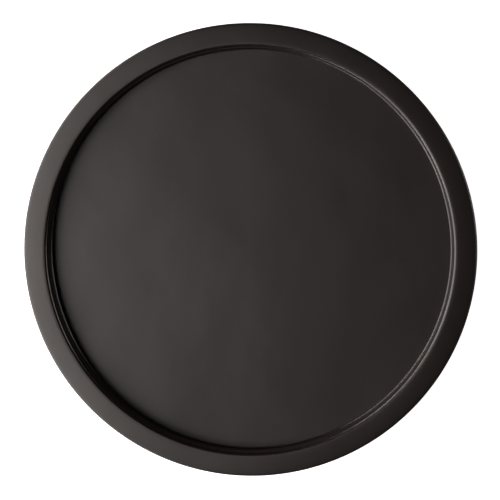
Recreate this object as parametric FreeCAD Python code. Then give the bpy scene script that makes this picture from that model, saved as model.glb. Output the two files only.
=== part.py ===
"""A flat tart pan: one pressed steel sheet with a low wall, a wide rim and a rolled edge.

All lengths are millimetres. +Z is up, the Z axis is the pan's own axis, and the origin is the
centre of the base, on the surface that the pan stands on.

Every round piece is a section in the (radius, height) half plane, turned about Z. The sheet and
its coating share one outline, the face that the baker sees, and lie below it as layers. An outline
is a list of runs, each (length,), and bends, each (radius, turn in degrees), left turns positive.
A station is a place on it: (radius, height, heading in degrees).
"""

import FreeCAD, Part
import math
import os

# Driving dimensions. Radii of bends are those of the seen, coated face.
PAN_DIAMETER = 320.0
PAN_HEIGHT = 16.0            # from the base up to the highest line of the rim
RIM_WIDTH = 13.0             # from the end of the easing bend out to the pan's edge
WALL_ANGLE = 89.0            # degrees up from the floor
FOOT_RADIUS = 1.3            # hollow bend between floor and wall
SHOULDER_RADIUS = 2.1        # round bend at the top of the wall
EASING_RADIUS = 10.5         # wider bend that leads from the shoulder bend into the rim
EASING_SLOPE = 8.5           # degrees that the sheet still rises where the wider bend starts
RIM_SLOPE_INSIDE = 1.7       # degrees that the rim falls where it leaves the wider bend
RIM_SLOPE_OUTSIDE = 5.7      # degrees that it falls where it meets the rolled edge
BEAD_DIAMETER = 4.0          # outside of the rolled edge
BEAD_OPENING = 0.8           # from the rolled-in edge up to the underside of the rim
SHEET_THICKNESS = 0.6
COATING_THICKNESS = 0.05
WIRE_CLEARANCE = 0.05        # all round the wire, inside the rolled edge
WIRE_JOINT_GAP = 1.0         # between the butted ends of the wire
WIRE_JOINT_ANGLE = 96.0      # degrees from +X to the wire's joint
CHORD_DEPTH = 0.02           # the most that an arc of a bend stands off its chord

# What follows from them.
SKIN = SHEET_THICKNESS + COATING_THICKNESS
BEAD_RADIUS = BEAD_DIAMETER / 2
WIRE_RADIUS = BEAD_RADIUS - SKIN - WIRE_CLEARANCE
AXIS_FOOT = FreeCAD.Vector(0, 0, 0)
AXIS_UP = FreeCAD.Vector(0, 0, 1)


def sin(degrees):
    return math.sin(math.radians(degrees))


def cos(degrees):
    return math.cos(math.radians(degrees))


def wall_length():
    """The straight part of the wall takes up the height that the floor and the bends leave."""
    bend_rise = (
        FOOT_RADIUS * (1 - cos(WALL_ANGLE))
        + SHOULDER_RADIUS * (cos(EASING_SLOPE) - cos(WALL_ANGLE))
        + EASING_RADIUS * (1 - cos(EASING_SLOPE))
    )
    return (PAN_HEIGHT - SKIN - bend_rise) / sin(WALL_ANGLE)


def floor_radius():
    """The flat of the floor is what the rim, the bends and the wall leave."""
    return (
        PAN_DIAMETER / 2
        - RIM_WIDTH
        - EASING_RADIUS * (sin(EASING_SLOPE) + sin(RIM_SLOPE_INSIDE))
        - SHOULDER_RADIUS * (sin(WALL_ANGLE) - sin(EASING_SLOPE))
        - wall_length() * cos(WALL_ANGLE)
        - FOOT_RADIUS * sin(WALL_ANGLE)
    )


def rim_radius():
    """The rim is gently convex, a flat arc between its slopes at the wider bend and at the bead."""
    arc_width = RIM_WIDTH - BEAD_RADIUS * (1 - sin(RIM_SLOPE_OUTSIDE))
    return arc_width / (sin(RIM_SLOPE_OUTSIDE) - sin(RIM_SLOPE_INSIDE))


def bead_turn():
    """Three quarters of a turn, and on until the edge is one opening below the rim."""
    return 270.0 + math.degrees(math.asin(1 - (SKIN + BEAD_OPENING) / BEAD_RADIUS))


def bend(radius, turn):
    """A bend as equal arcs. Short arcs keep the facets of both faces of a thin layer in line."""
    arc_turn = math.degrees(2 * math.acos(1 - CHORD_DEPTH / radius))
    arcs = math.ceil(abs(turn) / arc_turn)
    return [(radius, turn / arcs)] * arcs


def outline_to_bead():
    """Floor, foot bend, wall, shoulder bend, wider bend and rim, from the axis outwards."""
    return [
        (floor_radius(),),
        *bend(FOOT_RADIUS, WALL_ANGLE),
        (wall_length(),),
        *bend(SHOULDER_RADIUS, EASING_SLOPE - WALL_ANGLE),
        *bend(EASING_RADIUS, -EASING_SLOPE - RIM_SLOPE_INSIDE),
        *bend(rim_radius(), RIM_SLOPE_INSIDE - RIM_SLOPE_OUTSIDE),
    ]


def whole_outline():
    """The outline to the bead, then the rolled edge."""
    return outline_to_bead() + bend(BEAD_RADIUS, -bead_turn())


def after(station, step):
    """The station at the end of a run or bend that starts at a station."""
    radius, height, heading = station
    if len(step) == 1:
        return (radius + step[0] * cos(heading), height + step[0] * sin(heading), heading)
    end = heading + step[1]
    side = math.copysign(step[0], step[1])
    return (
        radius + side * (sin(end) - sin(heading)),
        height - side * (cos(end) - cos(heading)),
        end,
    )


def stations(outline):
    """The station where each step of an outline starts, and the one where the last step ends."""
    found = [(0.0, SKIN, 0.0)]
    for step in outline:
        found.append(after(found[-1], step))
    return found


def below(station, depth):
    """The point at a depth below the seen face, square to it."""
    radius, height, heading = station
    return FreeCAD.Vector(radius + depth * sin(heading), 0, height - depth * cos(heading))


def face_edges(outline, depth):
    """The edges of the face that lies at one depth below the seen face."""
    edges = []
    for start, step in zip(stations(outline), outline):
        first = below(start, depth)
        last = below(after(start, step), depth)
        if len(step) == 1:
            edges.append(Part.LineSegment(first, last).toShape())
        else:
            half_step = (step[0], step[1] / 2)
            middle = below(after(start, half_step), depth)
            edges.append(Part.Arc(first, middle, last).toShape())
    return edges


def layer(top, bottom):
    """The round solid between two depths below the seen face."""
    outline = whole_outline()
    marks = stations(outline)
    caps = [
        Part.LineSegment(below(mark, top), below(mark, bottom)).toShape()
        for mark in (marks[0], marks[-1])
    ]
    edges = face_edges(outline, top) + face_edges(outline, bottom) + caps
    section = Part.Face(Part.Wire(Part.__sortEdges__(edges)))
    return section.revolve(AXIS_FOOT, AXIS_UP, 360)


def pan_body():
    """The pressed sheet: floor, wall, rim and rolled edge in one piece."""
    return layer(COATING_THICKNESS, SKIN)


def nonstick_coating():
    """The coating on the seen side, from the middle of the floor to the rolled-in edge."""
    return layer(0.0, COATING_THICKNESS)


def rim_wire():
    """The stiffening wire inside the rolled edge, a ring whose two ends nearly meet."""
    bead_start = stations(outline_to_bead())[-1]
    centre = below(bead_start, BEAD_RADIUS)
    gap_turn = math.degrees(WIRE_JOINT_GAP / centre.x)
    circle = Part.Circle(centre, FreeCAD.Vector(0, 1, 0), WIRE_RADIUS)
    disc = Part.Face(Part.Wire(circle.toShape()))
    ring = disc.revolve(AXIS_FOOT, AXIS_UP, 360 - gap_turn)
    ring.rotate(AXIS_FOOT, AXIS_UP, WIRE_JOINT_ANGLE + gap_turn / 2)
    return ring


PIECES = {
    "pan_body": pan_body,
    "nonstick_coating": nonstick_coating,
    "rim_wire": rim_wire,
}

os.makedirs("parts", exist_ok=True)
for node, make in PIECES.items():
    make().exportStep(f"parts/{node}.step")
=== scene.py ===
import math

import bpy
import numpy as np
from mathutils import Matrix, Vector


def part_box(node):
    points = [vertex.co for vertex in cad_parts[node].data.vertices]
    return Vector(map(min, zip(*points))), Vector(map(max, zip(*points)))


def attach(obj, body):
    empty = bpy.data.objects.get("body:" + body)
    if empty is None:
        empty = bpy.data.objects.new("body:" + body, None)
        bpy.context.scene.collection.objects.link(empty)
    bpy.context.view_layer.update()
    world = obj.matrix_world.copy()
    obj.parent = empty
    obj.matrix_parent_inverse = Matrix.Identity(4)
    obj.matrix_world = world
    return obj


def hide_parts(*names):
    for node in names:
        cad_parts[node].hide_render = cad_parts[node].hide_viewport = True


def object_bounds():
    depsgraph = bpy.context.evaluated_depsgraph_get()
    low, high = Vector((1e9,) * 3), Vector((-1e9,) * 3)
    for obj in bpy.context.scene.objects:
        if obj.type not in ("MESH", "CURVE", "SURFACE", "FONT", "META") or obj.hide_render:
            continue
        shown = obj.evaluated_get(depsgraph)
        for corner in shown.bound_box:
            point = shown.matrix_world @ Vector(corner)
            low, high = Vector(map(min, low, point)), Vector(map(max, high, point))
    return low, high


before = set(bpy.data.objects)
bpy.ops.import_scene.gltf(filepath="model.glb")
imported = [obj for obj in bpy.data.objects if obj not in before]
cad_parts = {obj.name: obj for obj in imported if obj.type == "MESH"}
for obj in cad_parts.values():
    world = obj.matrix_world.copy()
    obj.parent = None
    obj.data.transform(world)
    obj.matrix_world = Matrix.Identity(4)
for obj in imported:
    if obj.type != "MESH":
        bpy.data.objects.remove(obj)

bl_info = {
    "name": "Coated tart pan",
    "version": (1, 0, 0),
    "blender": (4, 5, 0),
    "location": "View3D > Sidebar > Tart Pan",
    "description": "A pressed, coated tart pan with a wired rolled edge, and the studio that shows it",
    "category": "Add Mesh",
}

# Sizes that the frame holds or that follow from them, in metres.
CAD_LOW, CAD_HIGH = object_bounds()
SHEET_LOW, SHEET_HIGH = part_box("pan_body")
COATING_LOW, COATING_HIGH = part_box("nonstick_coating")
WIRE_LOW, WIRE_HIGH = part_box("rim_wire")
PAN_RADIUS = COATING_HIGH[0]
COATING_THICKNESS = COATING_HIGH[2] - SHEET_HIGH[2]
SKIN = COATING_LOW[2] - SHEET_LOW[2] + COATING_THICKNESS    # sheet and coating together
DEPTH = COATING_HIGH[2] - SKIN      # from the seen floor up to the rim's highest line
WIRE_RADIUS = (WIRE_HIGH[2] - WIRE_LOW[2]) / 2

# Facets round the pan, and round the wire's own section.
TURNS = 480
WIRE_SIDES = 24

# Divisions of each stretch of the outline, from the axis to the rolled-in edge.
FLOOR_STEPS = 6
FOOT_STEPS = 20
WALL_STEPS = 4
SHOULDER_STEPS = 24
EASING_STEPS = 8
RIM_STEPS = 8
BEAD_STEPS = 30

# An edge sharper than this is shaded as an edge. A bend tighter than this radius was burnished.
EDGE_ANGLE = math.radians(40.0)
BURNISHED_RADIUS = 0.008

# Most values of a soft noise lie between these two.
NOISE_SPAN = (0.3, 0.7)

# The studio: metres from the pan to its wall, facets of the wall, and a slightly warm light.
STUDIO_RADIUS = 3.5
STUDIO_FACETS = 64
PALE = (1.0, 0.93, 0.9)
GLOW_TOP = 0.35             # where the glow ends: 0 is level and 1 is straight up

# Each light is a panel: its distance from the pan, its width and its height, in metres.
KEY_PANEL = (1.2, 1.0, 1.7)
EDGE_PANEL = (1.1, 0.9, 0.2)
LOW_PANEL = (1.0, 0.57, 0.28)
SENSOR_WIDTH = 36.0         # of the camera, in millimetres


class PanShape(bpy.types.PropertyGroup):
    """The outline of the pan's seen face. The overall sizes come from the frame."""

    rim_width: bpy.props.FloatProperty(
        name="Rim width", description="From the end of the easing bend out to the pan's edge",
        default=0.013, unit="LENGTH")
    rim_slope_inside: bpy.props.FloatProperty(
        name="Rim slope inside", description="How far the rim falls where it leaves the easing bend",
        default=math.radians(1.7), unit="ROTATION")
    rim_slope_outside: bpy.props.FloatProperty(
        name="Rim slope outside", description="How far the rim falls where it meets the rolled edge",
        default=math.radians(5.7), unit="ROTATION")
    wall_angle: bpy.props.FloatProperty(
        name="Wall angle", description="How steeply the wall rises from the floor",
        default=math.radians(89.0), unit="ROTATION")
    foot_radius: bpy.props.FloatProperty(
        name="Foot bend", description="Radius of the hollow bend between floor and wall",
        default=0.0013, unit="LENGTH")
    shoulder_radius: bpy.props.FloatProperty(
        name="Shoulder bend", description="Radius of the round bend at the top of the wall",
        default=0.0021, unit="LENGTH")
    easing_radius: bpy.props.FloatProperty(
        name="Easing bend", description="Radius of the wider bend from the shoulder bend into the rim",
        default=0.0105, unit="LENGTH")
    easing_slope: bpy.props.FloatProperty(
        name="Easing slope", description="How far the sheet still rises where the easing bend starts",
        default=math.radians(8.5), unit="ROTATION")
    bead_radius: bpy.props.FloatProperty(
        name="Bead radius", description="Outside radius of the rolled edge",
        default=0.002, unit="LENGTH")
    bead_opening: bpy.props.FloatProperty(
        name="Bead opening", description="From the rolled-in edge up to the underside of the rim",
        default=0.0008, unit="LENGTH")
    wire_joint_angle: bpy.props.FloatProperty(
        name="Wire joint angle", description="Where round the rim the two ends of the wire meet",
        default=math.radians(96.0), unit="ROTATION")
    wire_joint_gap: bpy.props.FloatProperty(
        name="Wire joint gap", description="Room between the two ends of the wire",
        default=0.001, unit="LENGTH")


class CoatingFinish(bpy.types.PropertyGroup):
    """The satin charcoal coating of the baking side."""

    colour: bpy.props.FloatVectorProperty(
        name="Colour", description="Body colour of the coating, a warm near-black",
        default=(0.0045, 0.0021, 0.0015), subtype="COLOR", min=0.0, max=1.0)
    roughness: bpy.props.FloatProperty(
        name="Roughness", description="Width of the satin reflection",
        default=0.445, min=0.0, max=1.0, subtype="FACTOR")
    bend_roughness: bpy.props.FloatProperty(
        name="Roughness of bends",
        description="Width of the reflection on the sharp bends, which the press burnished",
        default=0.24, min=0.0, max=1.0, subtype="FACTOR")
    cloud_size: bpy.props.FloatProperty(
        name="Cloud size", description="Distance between places where the coating came out glossier",
        default=0.07, unit="LENGTH")
    cloud_depth: bpy.props.FloatProperty(
        name="Cloud depth", description="How far the roughness goes up and down from place to place",
        default=0.012, min=0.0, max=0.2, subtype="FACTOR")
    wave_size: bpy.props.FloatProperty(
        name="Wave size", description="Distance between the slow waves of the pressed sheet",
        default=0.09, unit="LENGTH")
    wave_height: bpy.props.FloatProperty(
        name="Wave height", description="Height of the slow waves of the pressed sheet",
        default=0.0013, unit="LENGTH", precision=5)
    mottle_size: bpy.props.FloatProperty(
        name="Mottle size",
        description="Distance between the larger hills of the sprayed film's unevenness",
        default=0.025, unit="LENGTH")
    mottle_height: bpy.props.FloatProperty(
        name="Mottle height",
        description="Height of the sprayed film's unevenness, all its sizes together",
        default=0.00032, unit="LENGTH", precision=5)
    film_weight: bpy.props.FloatProperty(
        name="Film weight", description="Strength of the clear film at the coating's surface",
        default=0.13, min=0.0, max=1.0, subtype="FACTOR")
    film_roughness: bpy.props.FloatProperty(
        name="Film roughness", description="Width of the clear film's own reflection",
        default=0.43, min=0.0, max=1.0, subtype="FACTOR")
    grain_size: bpy.props.FloatProperty(
        name="Grain size", description="Distance between the coating's fine hills",
        default=0.0006, unit="LENGTH")
    grain_height: bpy.props.FloatProperty(
        name="Grain height", description="Height of the coating's fine hills",
        default=0.000004, unit="LENGTH", precision=6)


class SteelFinish(bpy.types.PropertyGroup):
    """The colours of the sheet and the wire where no coating covers them."""

    lacquer_colour: bpy.props.FloatVectorProperty(
        name="Lacquer", description="Colour of the dark lacquer on the sheet's underside",
        default=(0.02, 0.019, 0.0185), subtype="COLOR", min=0.0, max=1.0)
    edge_colour: bpy.props.FloatVectorProperty(
        name="Cut edge", description="Colour of the bare steel on the sheet's cut edge",
        default=(0.45, 0.44, 0.43), subtype="COLOR", min=0.0, max=1.0)
    wire_colour: bpy.props.FloatVectorProperty(
        name="Wire", description="Colour of the drawn wire",
        default=(0.42, 0.42, 0.43), subtype="COLOR", min=0.0, max=1.0)


class StudioSettings(bpy.types.PropertyGroup):
    """The lights and the camera."""

    key_power: bpy.props.FloatProperty(
        name="Key light", description="Power of the large soft light at the left, in watts",
        default=25.5, unit="POWER")
    key_azimuth: bpy.props.FloatProperty(
        name="Key azimuth", description="Direction of the key light, round the pan from +X",
        default=math.radians(192.0), unit="ROTATION")
    key_elevation: bpy.props.FloatProperty(
        name="Key elevation", description="Height of the key light above the level of the pan",
        default=math.radians(37.0), unit="ROTATION")
    back_edge_power: bpy.props.FloatProperty(
        name="Back edge light", description="Power of the low strip at the left back, in watts",
        default=11.0, unit="POWER")
    back_edge_azimuth: bpy.props.FloatProperty(
        name="Back edge azimuth",
        description="Direction of the low strip at the left back, round the pan from +X",
        default=math.radians(150.0), unit="ROTATION")
    front_edge_power: bpy.props.FloatProperty(
        name="Front edge light", description="Power of the low strip at the left front, in watts",
        default=8.0, unit="POWER")
    front_edge_azimuth: bpy.props.FloatProperty(
        name="Front edge azimuth",
        description="Direction of the low strip at the left front, round the pan from +X",
        default=math.radians(225.0), unit="ROTATION")
    edge_elevation: bpy.props.FloatProperty(
        name="Edge light elevation",
        description="Height of the two low strips above the level of the pan",
        default=math.radians(7.0), unit="ROTATION")
    horizon_glow: bpy.props.FloatProperty(
        name="Horizon glow", description="Faint light from all round the pan, at its level",
        default=0.06, min=0.0)
    low_power: bpy.props.FloatProperty(
        name="Low light", description="Power of the weak low light at the right, in watts",
        default=3.1, unit="POWER")
    low_azimuth: bpy.props.FloatProperty(
        name="Low light azimuth", description="Direction of the low light, round the pan from +X",
        default=math.radians(11.0), unit="ROTATION")
    low_elevation: bpy.props.FloatProperty(
        name="Low light elevation", description="Height of the low light above the level of the pan",
        default=math.radians(8.3), unit="ROTATION")
    off_axis: bpy.props.FloatProperty(
        name="View angle",
        description="Angle between the pan's axis and the line from the pan to the camera",
        default=math.radians(6.2), unit="ROTATION")
    tilt: bpy.props.FloatProperty(
        name="Camera tilt",
        description="Angle between the pan's axis and the lens; lens shift does the rest",
        default=math.radians(3.72), unit="ROTATION")
    heading: bpy.props.FloatProperty(
        name="Camera heading", description="Direction in which the camera stands off the axis",
        default=math.radians(48.0), unit="ROTATION")
    distance: bpy.props.FloatProperty(
        name="Camera distance", description="From the camera to the middle of the rim",
        default=1.1, unit="LENGTH")
    framed_width: bpy.props.FloatProperty(
        name="Framed width", description="Width of the view at the height of the rim",
        default=0.3514, unit="LENGTH")
    framed_x: bpy.props.FloatProperty(
        name="Framed X", description="How far right of the view's middle the middle of the rim lies",
        default=-0.00063, unit="LENGTH")
    framed_y: bpy.props.FloatProperty(
        name="Framed Y", description="How far above the view's middle the middle of the rim lies",
        default=-0.0009, unit="LENGTH")


def bend_points(station, radius, turn, steps):
    """Points along a circular bend, without its start, at equal parts of the turn.

    A station is (distance from the axis, height, heading). Left turns are positive. The side is
    the radius for a left turn and minus the radius for a right turn. From the start, the distance
    grows by side * (sin heading - sin start) and the height by side * (cos start - cos heading)."""
    reach, height, heading = station
    headings = heading + turn * np.arange(1, steps + 1) / steps
    side = math.copysign(radius, turn)
    reaches = reach + side * (np.sin(headings) - math.sin(heading))
    heights = height - side * (np.cos(headings) - math.cos(heading))
    return np.column_stack([reaches, heights, headings])


def run_points(station, length, steps):
    """Points along a straight run, without its start: equal parts of the length along its heading."""
    reach, height, heading = station
    along = length * np.arange(1, steps + 1) / steps
    return np.column_stack([
        reach + along * math.cos(heading),
        height + along * math.sin(heading),
        np.full(steps, heading),
    ])


def outline(shape):
    """The seen face from the axis to the rolled-in edge, as rows of stations.

    The wall takes up the height that the floor and the bends leave. The floor takes up the radius
    that the rim, the bends and the wall leave. The rim is an arc between its two slopes. The bead
    makes three quarters of a turn, and more until its edge is one opening below the rim."""
    wall, easing = shape.wall_angle, shape.easing_slope
    inside, outside = shape.rim_slope_inside, shape.rim_slope_outside
    foot, shoulder = shape.foot_radius, shape.shoulder_radius
    wide, bead = shape.easing_radius, shape.bead_radius
    bend_rise = foot * (1 - math.cos(wall))
    bend_rise += shoulder * (math.cos(easing) - math.cos(wall)) + wide * (1 - math.cos(easing))
    wall_length = (DEPTH - bend_rise) / math.sin(wall)
    bend_reach = foot * math.sin(wall)
    bend_reach += shoulder * (math.sin(wall) - math.sin(easing))
    bend_reach += wide * (math.sin(easing) + math.sin(inside))
    floor_radius = PAN_RADIUS - shape.rim_width - bend_reach - wall_length * math.cos(wall)
    arc_width = shape.rim_width - bead * (1 - math.sin(outside))
    rim_radius = arc_width / (math.sin(outside) - math.sin(inside))
    bead_turn = math.radians(270.0) + math.asin(1 - (SKIN + shape.bead_opening) / bead)
    rows = [np.array([[0.0, SKIN, 0.0]])]
    rows.append(run_points(rows[-1][-1], floor_radius, FLOOR_STEPS))
    rows.append(bend_points(rows[-1][-1], foot, wall, FOOT_STEPS))
    rows.append(run_points(rows[-1][-1], wall_length, WALL_STEPS))
    rows.append(bend_points(rows[-1][-1], shoulder, easing - wall, SHOULDER_STEPS))
    rows.append(bend_points(rows[-1][-1], wide, -easing - inside, EASING_STEPS))
    rows.append(bend_points(rows[-1][-1], rim_radius, inside - outside, RIM_STEPS))
    rows.append(bend_points(rows[-1][-1], bead, -bead_turn, BEAD_STEPS))
    return np.vstack(rows)


def layer_section(shape, top, bottom):
    """A section between two depths below the seen face: each point moves square to its heading."""
    reach, height, heading = outline(shape).T
    faces = [
        np.column_stack([reach + depth * np.sin(heading), height - depth * np.cos(heading)])
        for depth in (top, bottom)
    ]
    return np.vstack([faces[0], faces[1][::-1]])


def bend_marks(shape):
    """For each point of the outline, 1 on the foot bend and the shoulder bend, 0 elsewhere.

    The change of heading over the length gives the curvature that arrives at a point. The rolled
    edge is as tight, but its headings lie below the rim's outer slope."""
    reach, height, heading = outline(shape).T
    length = np.hypot(np.diff(reach), np.diff(height))
    sharp = np.abs(np.diff(heading)) / length > 1 / BURNISHED_RADIUS
    rolled = heading[1:] < -shape.rim_slope_outside
    return np.concatenate([[0.0], (sharp & ~rolled).astype(float)])


def turned_mesh(name, section, marks=None):
    """A section that starts and ends on the axis, turned into a closed mesh.

    Point (r, z) at angle a goes to (r cos a, r sin a, z). The two ends are single poles.
    Marks give each point of the section a value, kept as the attribute named bend."""
    rings = section[1:-1]
    angles = np.arange(TURNS) * 2 * math.pi / TURNS
    x = rings[:, :1] * np.cos(angles)
    y = rings[:, :1] * np.sin(angles)
    z = np.repeat(rings[:, 1:], TURNS, axis=1)
    points = np.stack([x, y, z], axis=-1).reshape(-1, 3)
    poles = np.array([[0.0, 0.0, section[0, 1]], [0.0, 0.0, section[-1, 1]]])
    points = np.vstack([points, poles])

    here = np.arange(TURNS)
    following = (here + 1) % TURNS
    starts = np.arange(len(rings) - 1)[:, None] * TURNS
    quads = np.stack([
        starts + here,
        starts + TURNS + here,
        starts + TURNS + following,
        starts + following,
    ], axis=-1).reshape(-1, 4)
    last = (len(rings) - 1) * TURNS
    first_pole, last_pole = len(points) - 2, len(points) - 1
    top_fan = np.column_stack([np.full(TURNS, first_pole), here, following])
    bottom_fan = np.column_stack([np.full(TURNS, last_pole), last + following, last + here])
    mesh = mesh_from(name, points, [quads, top_fan, bottom_fan])
    if marks is not None:
        bend = mesh.attributes.new("bend", "FLOAT", "POINT")
        values = np.concatenate([np.repeat(marks[1:-1], TURNS), [marks[0], marks[-1]]])
        bend.data.foreach_set("value", values.astype(np.float32))
    return mesh


def mesh_from(name, points, groups):
    """A smooth-shaded mesh from whole arrays: points, and groups of faces with equal corner counts."""
    corners = np.concatenate([faces.ravel() for faces in groups])
    counts = np.concatenate([np.full(len(faces), faces.shape[1]) for faces in groups])
    mesh = bpy.data.meshes.new(name)
    mesh.vertices.add(len(points))
    mesh.loops.add(len(corners))
    mesh.polygons.add(len(counts))
    mesh.vertices.foreach_set("co", points.astype(np.float32).ravel())
    mesh.loops.foreach_set("vertex_index", corners.astype(np.int32))
    mesh.polygons.foreach_set("loop_start", (np.cumsum(counts) - counts).astype(np.int32))
    mesh.update(calc_edges=True)
    mesh.shade_smooth()
    mesh.set_sharp_from_angle(angle=EDGE_ANGLE)
    mesh.validate()
    return mesh


def add_piece(name, mesh, material, slot, *replaced):
    """Links a finished mesh as a piece that rides on the pan and stands for CAD nodes."""
    piece = bpy.data.objects.new(name, mesh)
    bpy.context.scene.collection.objects.link(piece)
    mesh.materials.append(material)
    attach(piece, "root")
    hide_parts(*replaced)


class NodeBench:
    """Lays out the nodes of one material."""

    def __init__(self, name):
        self.material = bpy.data.materials.new(name)
        self.material.use_nodes = True
        self.tree = self.material.node_tree
        self.shader = self.tree.nodes["Principled BSDF"]
        self.place = self.add("ShaderNodeTexCoord").outputs["Object"]

    def add(self, kind, **settings):
        node = self.tree.nodes.new(kind)
        for key, value in settings.items():
            setattr(node, key, value)
        return node

    def join(self, source, target):
        self.tree.links.new(source, target)

    def noise(self, size, detail=2.0, roughness=0.5):
        """Soft noise whose hills are about one size apart."""
        node = self.add("ShaderNodeTexNoise")
        node.inputs["Scale"].default_value = 1.0 / size
        node.inputs["Detail"].default_value = detail
        node.inputs["Roughness"].default_value = roughness
        self.join(self.place, node.inputs["Vector"])
        return node.outputs["Fac"]

    def spread(self, source, low, high, from_low=0.0, from_high=1.0):
        """Maps a value from one range to another."""
        node = self.add("ShaderNodeMapRange")
        node.inputs["From Min"].default_value = from_low
        node.inputs["From Max"].default_value = from_high
        node.inputs["To Min"].default_value = low
        node.inputs["To Max"].default_value = high
        self.join(source, node.inputs["Value"])
        return node.outputs["Result"]

    def vary_roughness(self, size, low, high):
        """Roughness that drifts between two values over patches about one size apart."""
        drift = self.spread(self.noise(size), low, high, *NOISE_SPAN)
        self.join(drift, self.shader.inputs["Roughness"])

    def blend(self, part, start, end):
        """A value that goes from start to end, a fixed number, as part goes from 0 to 1."""
        node = self.add("ShaderNodeMix", data_type="FLOAT")
        self.join(part, node.inputs["Factor"])
        self.join(start, node.inputs["A"])
        node.inputs["B"].default_value = end
        return node.outputs["Result"]

    def bump(self, height, distance, below=None, strength=None):
        """A bump of the given height, laid over another one, and as strong as a value says."""
        node = self.add("ShaderNodeBump")
        node.inputs["Distance"].default_value = distance
        self.join(height, node.inputs["Height"])
        if below is not None:
            self.join(below, node.inputs["Normal"])
        if strength is not None:
            self.join(strength, node.inputs["Strength"])
        return node.outputs["Normal"]

    def add_grain(self, size, height, below=None):
        """Fine, broken hills over the whole surface, laid over the bump below them."""
        hills = self.noise(size, detail=3.0, roughness=0.6)
        self.join(self.bump(hills, height, below), self.shader.inputs["Normal"])


def nonstick_finish(finish):
    """Satin charcoal coating: grain, mottle, slow waves, and a closer sheen on the sharp bends."""
    bench = NodeBench("nonstick_coating")
    shader = bench.shader
    shader.inputs["Base Color"].default_value = (*finish.colour, 1.0)
    shader.inputs["Coat Weight"].default_value = finish.film_weight
    shader.inputs["Coat Roughness"].default_value = finish.film_roughness
    low, high = finish.roughness - finish.cloud_depth, finish.roughness + finish.cloud_depth
    cloudy = bench.spread(bench.noise(finish.cloud_size), low, high, *NOISE_SPAN)
    bent = bench.add("ShaderNodeAttribute", attribute_name="bend").outputs["Fac"]
    burnished = bench.blend(bent, cloudy, finish.bend_roughness)
    bench.join(burnished, shader.inputs["Roughness"])
    flat = bench.spread(bent, 1.0, 0.0)
    slow = bench.noise(finish.wave_size, detail=1.0)
    waves = bench.bump(slow, finish.wave_height, strength=flat)
    uneven = bench.noise(finish.mottle_size, detail=4.0)
    mottle = bench.bump(uneven, finish.mottle_height, below=waves, strength=flat)
    bench.add_grain(finish.grain_size, finish.grain_height, below=mottle)
    return bench.material


def lacquered_steel_finish(finish):
    """The sheet's dark lacquered underside: a thin film with fine grain and slow changes of sheen."""
    bench = NodeBench("lacquered_sheet")
    bench.shader.inputs["Base Color"].default_value = (*finish.lacquer_colour, 1.0)
    bench.vary_roughness(size=0.04, low=0.36, high=0.44)
    waves = bench.bump(bench.noise(size=0.09, detail=1.0), distance=0.0002)
    bench.add_grain(size=0.0007, height=0.000005, below=waves)
    return bench.material


def cut_steel_finish(finish):
    """The bare steel of the sheet's cut edge, finely torn by the shears."""
    bench = NodeBench("cut_steel")
    bench.shader.inputs["Base Color"].default_value = (*finish.edge_colour, 1.0)
    bench.shader.inputs["Metallic"].default_value = 1.0
    bench.vary_roughness(size=0.002, low=0.4, high=0.6)
    torn = bench.bump(bench.noise(size=0.0002), distance=0.000005)
    bench.join(torn, bench.shader.inputs["Normal"])
    return bench.material


def drawn_wire_finish(finish):
    """Dull grey drawn steel wire, a little smoother here and rougher there."""
    bench = NodeBench("drawn_steel_wire")
    bench.shader.inputs["Base Color"].default_value = (*finish.wire_colour, 1.0)
    bench.shader.inputs["Metallic"].default_value = 1.0
    bench.vary_roughness(size=0.003, low=0.38, high=0.5)
    bench.add_grain(size=0.0004, height=0.000003)
    return bench.material


def mark_cut_edge(mesh, material, outline_length):
    """Gives the sheet's cut edge its own material.

    The edge is the ring of faces between the outline's last point and the one below it. The rings
    start at the section's second point, so the ring's number is two less than the outline's length."""
    mesh.materials.append(material)
    numbers = np.zeros(len(mesh.polygons), dtype=np.int32)
    first = (outline_length - 2) * TURNS
    numbers[first:first + TURNS] = 1
    mesh.polygons.foreach_set("material_index", numbers)


def wire_mesh(shape):
    """A ring of wire with two flat ends: a circle of the wire's radius carried round the axis.

    The point at angle b round the wire and angle a round the pan has the distance
    bead centre + wire radius * cos b from the axis, and the height centre + wire radius * sin b."""
    centre_reach = PAN_RADIUS - shape.bead_radius
    centre_height = (WIRE_HIGH[2] + WIRE_LOW[2]) / 2
    half_gap = shape.wire_joint_gap / centre_reach / 2
    a = np.linspace(half_gap, 2 * math.pi - half_gap, TURNS) + shape.wire_joint_angle
    b = np.arange(WIRE_SIDES) * 2 * math.pi / WIRE_SIDES
    reach = centre_reach + WIRE_RADIUS * np.cos(b)
    x = np.cos(a)[:, None] * reach
    y = np.sin(a)[:, None] * reach
    z = np.broadcast_to(centre_height + WIRE_RADIUS * np.sin(b), x.shape)
    points = np.stack([x, y, z], axis=-1).reshape(-1, 3)
    here = np.arange(WIRE_SIDES)
    following = (here + 1) % WIRE_SIDES
    starts = np.arange(TURNS - 1)[:, None] * WIRE_SIDES
    quads = np.stack([
        starts + here,
        starts + WIRE_SIDES + here,
        starts + WIRE_SIDES + following,
        starts + following,
    ], axis=-1).reshape(-1, 4)
    first_end = here[None, :]
    last_end = (len(points) - WIRE_SIDES + here)[None, ::-1]
    return mesh_from("stiffening_wire", points, [quads, first_end, last_end])


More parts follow.
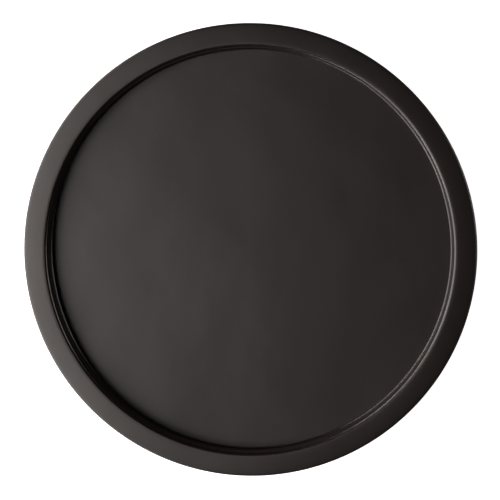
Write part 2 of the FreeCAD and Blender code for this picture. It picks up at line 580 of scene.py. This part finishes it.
def add_area_light(name, power, azimuth, elevation, panel):
    """A soft rectangular light that stands in a direction from the pan and is turned towards it."""
    distance, width, height = panel
    data = bpy.data.lights.new(name, "AREA")
    data.shape = "RECTANGLE"
    data.size = width
    data.size_y = height
    data.energy = power
    data.color = PALE
    light = bpy.data.objects.new(name, data)
    level = math.cos(elevation)
    direction = Vector((level * math.cos(azimuth), level * math.sin(azimuth), math.sin(elevation)))
    place = direction * distance
    light.location = place
    light.rotation_euler = (-place).to_track_quat("-Z", "Y").to_euler()
    bpy.context.scene.collection.objects.link(light)


def add_room(studio):
    """A room that is dark above the pan and glows faintly near the horizon.

    The glow has the set brightness at the horizon and fades out towards the height where it ends."""
    world = bpy.data.worlds.new("studio_room")
    bpy.context.scene.world = world
    world.use_nodes = True
    tree = world.node_tree
    background = tree.nodes["Background"]
    background.inputs["Color"].default_value = (*PALE, 1.0)
    direction = tree.nodes.new("ShaderNodeTexCoord")
    split = tree.nodes.new("ShaderNodeSeparateXYZ")
    fade = tree.nodes.new("ShaderNodeMapRange")
    fade.inputs["From Max"].default_value = GLOW_TOP
    fade.inputs["To Min"].default_value = studio.horizon_glow
    fade.inputs["To Max"].default_value = 0.0
    tree.links.new(direction.outputs["Generated"], split.inputs["Vector"])
    tree.links.new(split.outputs["Z"], fade.inputs["Value"])
    tree.links.new(fade.outputs["Result"], background.inputs["Strength"])


def glowing_white(name):
    """The white of the studio, which glows evenly and hides soft shadows."""
    bench = NodeBench(name)
    bench.shader.inputs["Base Color"].default_value = (0.8, 0.8, 0.8, 1.0)
    bench.shader.inputs["Roughness"].default_value = 0.9
    bench.shader.inputs["Emission Color"].default_value = (1.0, 1.0, 1.0, 1.0)
    bench.shader.inputs["Emission Strength"].default_value = 1.0
    return bench.material


def add_stage_piece(name, points, faces):
    """A white piece of the studio. The pan doesn't mirror it, so the pan's edges stay dark."""
    mesh = bpy.data.meshes.new(name)
    mesh.from_pydata(points, [], faces)
    mesh.materials.append(glowing_white(name))
    piece = bpy.data.objects.new(name, mesh)
    bpy.context.scene.collection.objects.link(piece)
    piece.visible_glossy = False
    return piece


def add_floor():
    """A large square floor at the level of the base."""
    side = STUDIO_RADIUS
    corners = [(-side, -side, 0), (side, -side, 0), (side, side, 0), (-side, side, 0)]
    add_stage_piece("studio_floor", corners, [(0, 1, 2, 3)])


def add_backdrop():
    """A round wall on the floor, which is there for the camera alone and lights nothing.

    The corner at angle a lies at (studio radius * cos a, studio radius * sin a), low and high."""
    angles = np.arange(STUDIO_FACETS) * 2 * math.pi / STUDIO_FACETS
    x = STUDIO_RADIUS * np.cos(angles)
    y = STUDIO_RADIUS * np.sin(angles)
    low = np.column_stack([x, y, np.zeros(STUDIO_FACETS)])
    high = low + (0, 0, STUDIO_RADIUS)
    here = np.arange(STUDIO_FACETS)
    following = (here + 1) % STUDIO_FACETS
    quads = np.column_stack([following, here, STUDIO_FACETS + here, STUDIO_FACETS + following])
    wall = add_stage_piece("studio_wall", np.vstack([low, high]).tolist(), quads.tolist())
    wall.visible_diffuse = False
    wall.visible_shadow = False


def add_lights(studio):
    """A large soft key light at the left, two low strips beside it, and a weak low light at the right.

    Flat surfaces hardly catch the low lights, so these mostly draw the bends."""
    add_area_light("key_light", studio.key_power, studio.key_azimuth, studio.key_elevation, KEY_PANEL)
    for name, power, azimuth in (
        ("back_edge_light", studio.back_edge_power, studio.back_edge_azimuth),
        ("front_edge_light", studio.front_edge_power, studio.front_edge_azimuth),
    ):
        add_area_light(name, power, azimuth, studio.edge_elevation, EDGE_PANEL)
    add_area_light("low_light", studio.low_power, studio.low_azimuth, studio.low_elevation, LOW_PANEL)


def add_camera(studio):
    """A camera above the pan, a little off its axis.

    The lens is tilted less than the line to the pan is, and shifted for the rest, so that the rim
    stays round. The view transform keeps the studio's white white."""
    scene = bpy.context.scene
    data = bpy.data.cameras.new("camera")
    camera = bpy.data.objects.new("camera", data)
    scene.collection.objects.link(camera)
    scene.camera = camera
    aside = Vector((math.cos(studio.heading), math.sin(studio.heading), 0))
    line = aside * math.sin(studio.off_axis) + Vector((0, 0, math.cos(studio.off_axis)))
    lens_line = aside * math.sin(studio.tilt) + Vector((0, 0, math.cos(studio.tilt)))
    right = Vector((0, 1, 0)).cross(lens_line).normalized()
    up = lens_line.cross(right)
    camera.matrix_world = Matrix((right, up, lens_line)).transposed().to_4x4()
    camera.location = Vector((0, 0, CAD_HIGH[2])) + line * studio.distance
    depth = line.dot(lens_line) * studio.distance
    data.sensor_width = SENSOR_WIDTH
    data.lens = SENSOR_WIDTH * depth / studio.framed_width
    data.shift_x = -(line.dot(right) * studio.distance + studio.framed_x) / studio.framed_width
    data.shift_y = -(line.dot(up) * studio.distance + studio.framed_y) / studio.framed_width
    scene.view_settings.view_transform = "Standard"


class TARTPAN_OT_coating(bpy.types.Operator):
    """Adds the coating of the baking side, with the shape that the frame's coating has"""

    bl_idname = "tartpan.add_coating"
    bl_label = "Add Coating"

    def execute(self, context):
        scene = context.scene
        section = layer_section(scene.tartpan_shape, 0.0, COATING_THICKNESS)
        marks = bend_marks(scene.tartpan_shape)
        mesh = turned_mesh("coating", section, np.concatenate([marks, marks[::-1]]))
        finish = nonstick_finish(scene.tartpan_coating)
        add_piece("coating", mesh, finish, "nonstick_coating", "nonstick_coating")
        return {"FINISHED"}


class TARTPAN_OT_sheet(bpy.types.Operator):
    """Adds the pressed sheet below the coating"""

    bl_idname = "tartpan.add_sheet"
    bl_label = "Add Sheet"

    def execute(self, context):
        scene = context.scene
        section = layer_section(scene.tartpan_shape, COATING_THICKNESS, SKIN)
        mesh = turned_mesh("pressed_sheet", section)
        lacquer = lacquered_steel_finish(scene.tartpan_steel)
        add_piece("pressed_sheet", mesh, lacquer, "sheet_steel", "pan_body")
        mark_cut_edge(mesh, cut_steel_finish(scene.tartpan_steel), len(section) // 2)
        return {"FINISHED"}


class TARTPAN_OT_wire(bpy.types.Operator):
    """Adds the stiffening wire inside the rolled edge"""

    bl_idname = "tartpan.add_wire"
    bl_label = "Add Wire"

    def execute(self, context):
        scene = context.scene
        mesh = wire_mesh(scene.tartpan_shape)
        finish = drawn_wire_finish(scene.tartpan_steel)
        add_piece("stiffening_wire", mesh, finish, "steel_wire", "rim_wire")
        return {"FINISHED"}


class TARTPAN_OT_studio(bpy.types.Operator):
    """Adds the white floor and wall, the lights and the camera"""

    bl_idname = "tartpan.add_studio"
    bl_label = "Add Studio"

    def execute(self, context):
        studio = context.scene.tartpan_studio
        add_floor()
        add_backdrop()
        add_room(studio)
        add_lights(studio)
        add_camera(studio)
        return {"FINISHED"}


class TARTPAN_PT_panel(bpy.types.Panel):
    """Lists the pieces of the pan and their settings"""

    bl_label = "Tart Pan"
    bl_idname = "TARTPAN_PT_panel"
    bl_space_type = "VIEW_3D"
    bl_region_type = "UI"
    bl_category = "Tart Pan"

    def draw(self, context):
        for group, operator in (
            ("tartpan_shape", "tartpan.add_sheet"),
            ("tartpan_coating", "tartpan.add_coating"),
            ("tartpan_steel", "tartpan.add_wire"),
            ("tartpan_studio", "tartpan.add_studio"),
        ):
            box = self.layout.box()
            settings = getattr(context.scene, group)
            for key in settings.__annotations__:
                box.prop(settings, key)
            box.operator(operator)


SETTINGS = {
    "tartpan_shape": PanShape,
    "tartpan_coating": CoatingFinish,
    "tartpan_steel": SteelFinish,
    "tartpan_studio": StudioSettings,
}
CLASSES = (
    *SETTINGS.values(),
    TARTPAN_OT_coating,
    TARTPAN_OT_sheet,
    TARTPAN_OT_wire,
    TARTPAN_OT_studio,
    TARTPAN_PT_panel,
)


def register():
    for cls in CLASSES:
        bpy.utils.register_class(cls)
    for name, group in SETTINGS.items():
        setattr(bpy.types.Scene, name, bpy.props.PointerProperty(type=group))


def unregister():
    for name in SETTINGS:
        delattr(bpy.types.Scene, name)
    for cls in reversed(CLASSES):
        bpy.utils.unregister_class(cls)


def main():
    register()
    bpy.ops.tartpan.add_sheet()
    bpy.ops.tartpan.add_coating()
    bpy.ops.tartpan.add_wire()
    bpy.ops.tartpan.add_studio()


if __name__ == "__main__":
    main()
